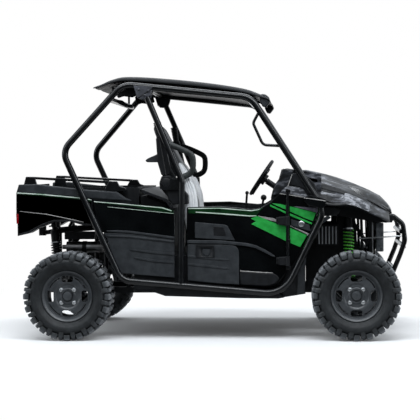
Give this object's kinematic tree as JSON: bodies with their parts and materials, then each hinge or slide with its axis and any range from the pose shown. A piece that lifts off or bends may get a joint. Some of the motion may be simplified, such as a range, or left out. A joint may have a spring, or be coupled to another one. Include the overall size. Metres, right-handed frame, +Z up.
{
  "type": "side by side utility vehicle",
  "caption": "Two-seat side-by-side utility vehicle with tubular cab frame, hard roof, half doors, tilting cargo bed and steered front wheels.",
  "frame": {"origin": "on the ground under the middle of the vehicle's bounding box", "axes": "+X forward, +Y to the driver's side, +Z up"},
  "size_m": [3, 1.575, 2.01],
  "materials": {
    "painted_steel": "gloss black powder coat",
    "frame_steel": "satin black",
    "black_plastic": "grained black",
    "gloss_black": "gloss black",
    "camo_plastic": "mottled grey",
    "tyre_rubber": "rubber",
    "rim_steel": "dark grey",
    "seat_fabric": "vinyl",
    "engine_alloy": "cast",
    "bare_alloy": "cast",
    "spring_green": "green",
    "muffler_steel": "dull",
    "lens_red": "red lens",
    "lens_clear": "clear lens"
  },
  "bodies": {
    "chassis": {"ladder_frame": "frame_steel", "floor_pan": "black_plastic", "seat_box": "black_plastic", "engine_block": "engine_alloy", "seat_cushions": "seat_fabric", "seat_backs": "seat_fabric", "rops_side_right": "painted_steel", "rops_side_left": "painted_steel", "rops_crossbars": "painted_steel", "shoulder_bar": "painted_steel", "shoulder_guards": "painted_steel", "roof_panel": "black_plastic", "dashboard": "black_plastic", "pillar_brackets": "frame_steel", "cowl_sides": "gloss_black", "quarter_panels": "gloss_black", "rear_bulkhead": "black_plastic", "front_fenders": "camo_plastic", "front_fascia": "black_plastic", "headlamps": "lens_clear", "radiator": "bare_alloy", "side_cooler": "bare_alloy", "front_bumper": "painted_steel", "rear_frame": "frame_steel", "hitch_receiver": "frame_steel", "front_frame": "frame_steel", "driveline": "bare_alloy", "suspension_arms": "frame_steel", "shock_absorbers": "spring_green", "muffler": "muffler_steel", "rear_hub_carriers": "bare_alloy", "control_levers": "black_plastic", "air_box": "black_plastic"},
    "hood": {"hood": "camo_plastic"},
    "door_right": {"door_right": "gloss_black"},
    "door_left": {"door_left": "gloss_black"},
    "cargo_bed": {"cargo_bed": "black_plastic", "bed_sides": "gloss_black", "bed_rails": "frame_steel", "tail_lamps": "lens_red"},
    "tailgate": {"tailgate": "black_plastic"},
    "steering_wheel": {"steering_wheel": "black_plastic"},
    "steering_rack": {"steering_rack": "frame_steel"},
    "knuckle_right": {"knuckle_right": "bare_alloy"},
    "knuckle_left": {"knuckle_left": "bare_alloy"},
    "wheel_front_right": {"rim_front_right": "rim_steel", "tyre_front_right": "tyre_rubber"},
    "wheel_front_left": {"rim_front_left": "rim_steel", "tyre_front_left": "tyre_rubber"},
    "wheel_rear_right": {"rim_rear_right": "rim_steel", "tyre_rear_right": "tyre_rubber"},
    "wheel_rear_left": {"rim_rear_left": "rim_steel", "tyre_rear_left": "tyre_rubber"}
  },
  "joints": [
    {"name": "rear_right_spin", "type": "hinge", "parent": "chassis", "child": "wheel_rear_right", "pos_m": [-1.101, -0.65, 0.338], "axis": [0, 1, 0], "continuous": true},
    {"name": "rear_left_spin", "type": "hinge", "parent": "chassis", "child": "wheel_rear_left", "pos_m": [-1.101, 0.65, 0.338], "axis": [0, 1, 0], "continuous": true},
    {"name": "front_right_spin", "type": "hinge", "parent": "knuckle_right", "child": "wheel_front_right", "pos_m": [1.086, -0.67, 0.338], "axis": [0, 1, 0], "continuous": true},
    {"name": "front_left_spin", "type": "hinge", "parent": "knuckle_left", "child": "wheel_front_left", "pos_m": [1.086, 0.67, 0.338], "axis": [0, 1, 0], "continuous": true},
    {"name": "steer_right", "type": "hinge", "parent": "chassis", "child": "knuckle_right", "pos_m": [1.086, -0.64, 0.338], "axis": [0, 0, 1], "range_deg": [-30, 30]},
    {"name": "steer_left", "type": "hinge", "parent": "chassis", "child": "knuckle_left", "pos_m": [1.086, 0.64, 0.338], "axis": [0, 0, 1], "range_deg": [-30, 30]},
    {"name": "steering_wheel_turn", "type": "hinge", "parent": "chassis", "child": "steering_wheel", "pos_m": [0.347, 0.33, 1.22], "axis": [-0.829, 0, 0.5592], "range_deg": [-300, 300]},
    {"name": "rack_slide", "type": "slide", "parent": "chassis", "child": "steering_rack", "axis": [0, 1, 0], "range_m": [-0.0346, 0.0346]},
    {"name": "door_right_hinge", "type": "hinge", "parent": "chassis", "child": "door_right", "pos_m": [0.574, -0.748, 0.75], "axis": [0, 0, 1], "range_deg": [0, 75]},
    {"name": "door_left_hinge", "type": "hinge", "parent": "chassis", "child": "door_left", "pos_m": [0.574, 0.748, 0.75], "axis": [0, 0, -1], "range_deg": [0, 75]},
    {"name": "hood_hinge", "type": "hinge", "parent": "chassis", "child": "hood", "pos_m": [1.372, 0, 0.945], "axis": [0, 1, 0], "range_deg": [0, 60]},
    {"name": "bed_tilt", "type": "hinge", "parent": "chassis", "child": "cargo_bed", "pos_m": [-1.374, 0, 0.8], "axis": [0, -1, 0], "range_deg": [0, 45]},
    {"name": "tailgate_hinge", "type": "hinge", "parent": "cargo_bed", "child": "tailgate", "pos_m": [-1.487, 0, 0.941], "axis": [0, -1, 0], "range_deg": [0, 90]}
  ],
  "couplings": [
    {"joint": "steer_left", "follows": "steer_right", "ratio": 1},
    {"joint": "steering_wheel_turn", "follows": "steer_right", "ratio": 10},
    {"joint": "rack_slide", "follows": "steer_right", "m_per_rad": -0.066}
  ]
}
